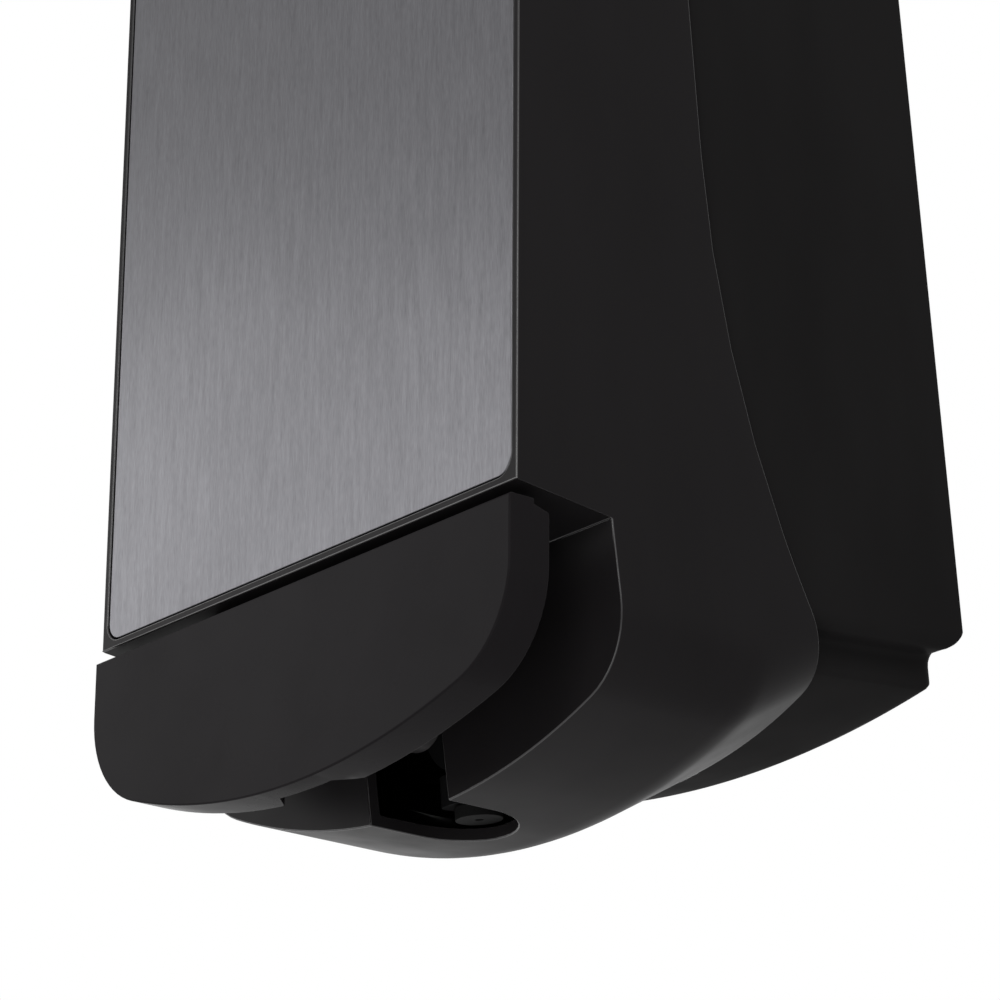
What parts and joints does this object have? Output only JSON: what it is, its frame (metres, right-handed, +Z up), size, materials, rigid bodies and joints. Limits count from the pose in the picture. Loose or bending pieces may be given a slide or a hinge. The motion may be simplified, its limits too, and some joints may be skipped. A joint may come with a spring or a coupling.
{
  "type": "wall soap dispenser",
  "caption": "Wall-mounted liquid soap dispenser with a push lever, a brushed steel front plate, a hinged lockable cover, a refillable tank and a plunger pump.",
  "frame": {"origin": "on the face that lies on the wall, in the middle of the width, 100 mm above the foot of the front panel", "axes": "+X across to the right as seen from the front, +Y into the wall, +Z up"},
  "size_m": [0.125, 0.1136, 0.2612],
  "materials": {
    "cover_plastic": "satin black moulded plastic with a fine texture",
    "shell_plastic": "satin black moulded plastic",
    "lever_plastic": "satin dark grey moulded plastic",
    "brushed_plate": "stainless sheet, brushed from top to bottom",
    "tape": "double-sided foam tape",
    "rod_steel": "drawn stainless wire and rod",
    "zinc": "zinc die casting and plated steel",
    "tank_plastic": "translucent white polyethylene",
    "lid_plastic": "white moulded plastic",
    "pump_plastic": "black engineering plastic",
    "seal_rubber": "moulded rubber"
  },
  "bodies": {
    "base": {"back_shell": "shell_plastic", "cover_hinge_rod": "rod_steel", "reservoir": "tank_plastic", "lid_pin": "rod_steel", "outlet_seal": "seal_rubber", "pump_housing": "pump_plastic", "pump_gland": "pump_plastic", "inlet_valve": "seal_rubber", "spout": "pump_plastic", "spout_valve": "seal_rubber", "pump_screw_left": "zinc", "pump_screw_right": "zinc", "return_spring": "rod_steel"},
    "cover": {"front_cover": "cover_plastic", "steel_plate": "brushed_plate", "plate_tape_left": "tape", "plate_tape_right": "tape", "lock_nut": "zinc", "lever_rod": "rod_steel"},
    "lever": {"push_lever": "lever_plastic"},
    "lock": {"lock_barrel": "zinc", "lock_cam": "zinc", "cam_screw": "zinc"},
    "plunger": {"pump_piston": "pump_plastic", "piston_seal": "seal_rubber", "push_button": "lever_plastic"},
    "lid": {"reservoir_lid": "lid_plastic"}
  },
  "joints": [
    {"name": "cover_hinge", "type": "hinge", "parent": "base", "child": "cover", "pos_m": [0, -0.028, -0.1224], "axis": [1, 0, 0], "range_deg": [0, 60]},
    {"name": "lever_push", "type": "hinge", "parent": "cover", "child": "lever", "pos_m": [0, -0.098, -0.1095], "axis": [1, 0, 0], "range_deg": [0, 22], "stiffness_Nm_per_rad": 0.32, "springref_deg": -8.59},
    {"name": "lock_turn", "type": "hinge", "parent": "cover", "child": "lock", "pos_m": [0, -0.074, 0.115], "axis": [0, 0, 1], "range_deg": [0, 90]},
    {"name": "plunger_slide", "type": "slide", "parent": "base", "child": "plunger", "axis": [0, 1, 0], "range_m": [0, 0.00768], "deforming": ["return_spring"]},
    {"name": "lid_hinge", "type": "hinge", "parent": "base", "child": "lid", "pos_m": [0, -0.0175, 0.0635], "axis": [-1, 0, 0], "range_deg": [0, 80]}
  ],
  "couplings": [
    {"joint": "plunger_slide", "follows": "lever_push", "m_per_rad": 0.01998}
  ]
}
